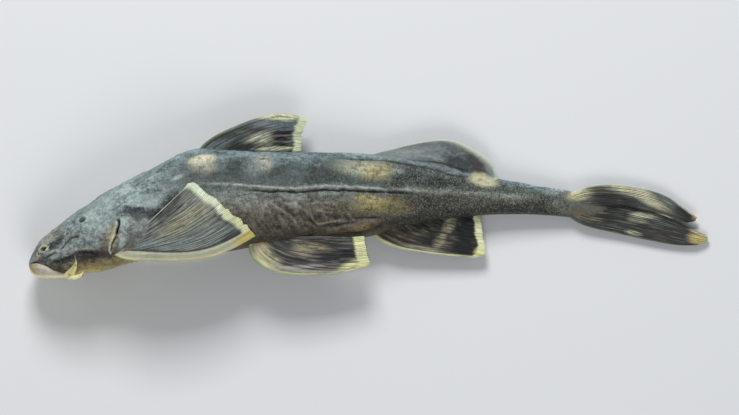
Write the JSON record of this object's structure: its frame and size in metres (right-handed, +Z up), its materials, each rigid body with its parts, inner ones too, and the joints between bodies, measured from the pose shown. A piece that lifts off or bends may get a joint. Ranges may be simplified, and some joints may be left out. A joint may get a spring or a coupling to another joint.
{
  "type": "dried catfish",
  "caption": "Whole dried catfish lying on its right side, slender body with a flat-bellied head, short barbels, broad paired fins, a low fleshy back fin and a forked tail.",
  "frame": {"origin": "middle of the bounding box seen from above, on the surface that the fish lies on", "axes": "+X from the snout to the tail, +Y from the belly to the back, +Z up out of the left flank"},
  "size_m": [0.1904, 0.0464, 0.0283],
  "materials": {
    "dried_skin": "satin, finely wrinkled dark grey skin with cream blotches and cream fin edges"
  },
  "bodies": {
    "root": {"dried_catfish": "dried_skin"}
  },
  "joints": []
}
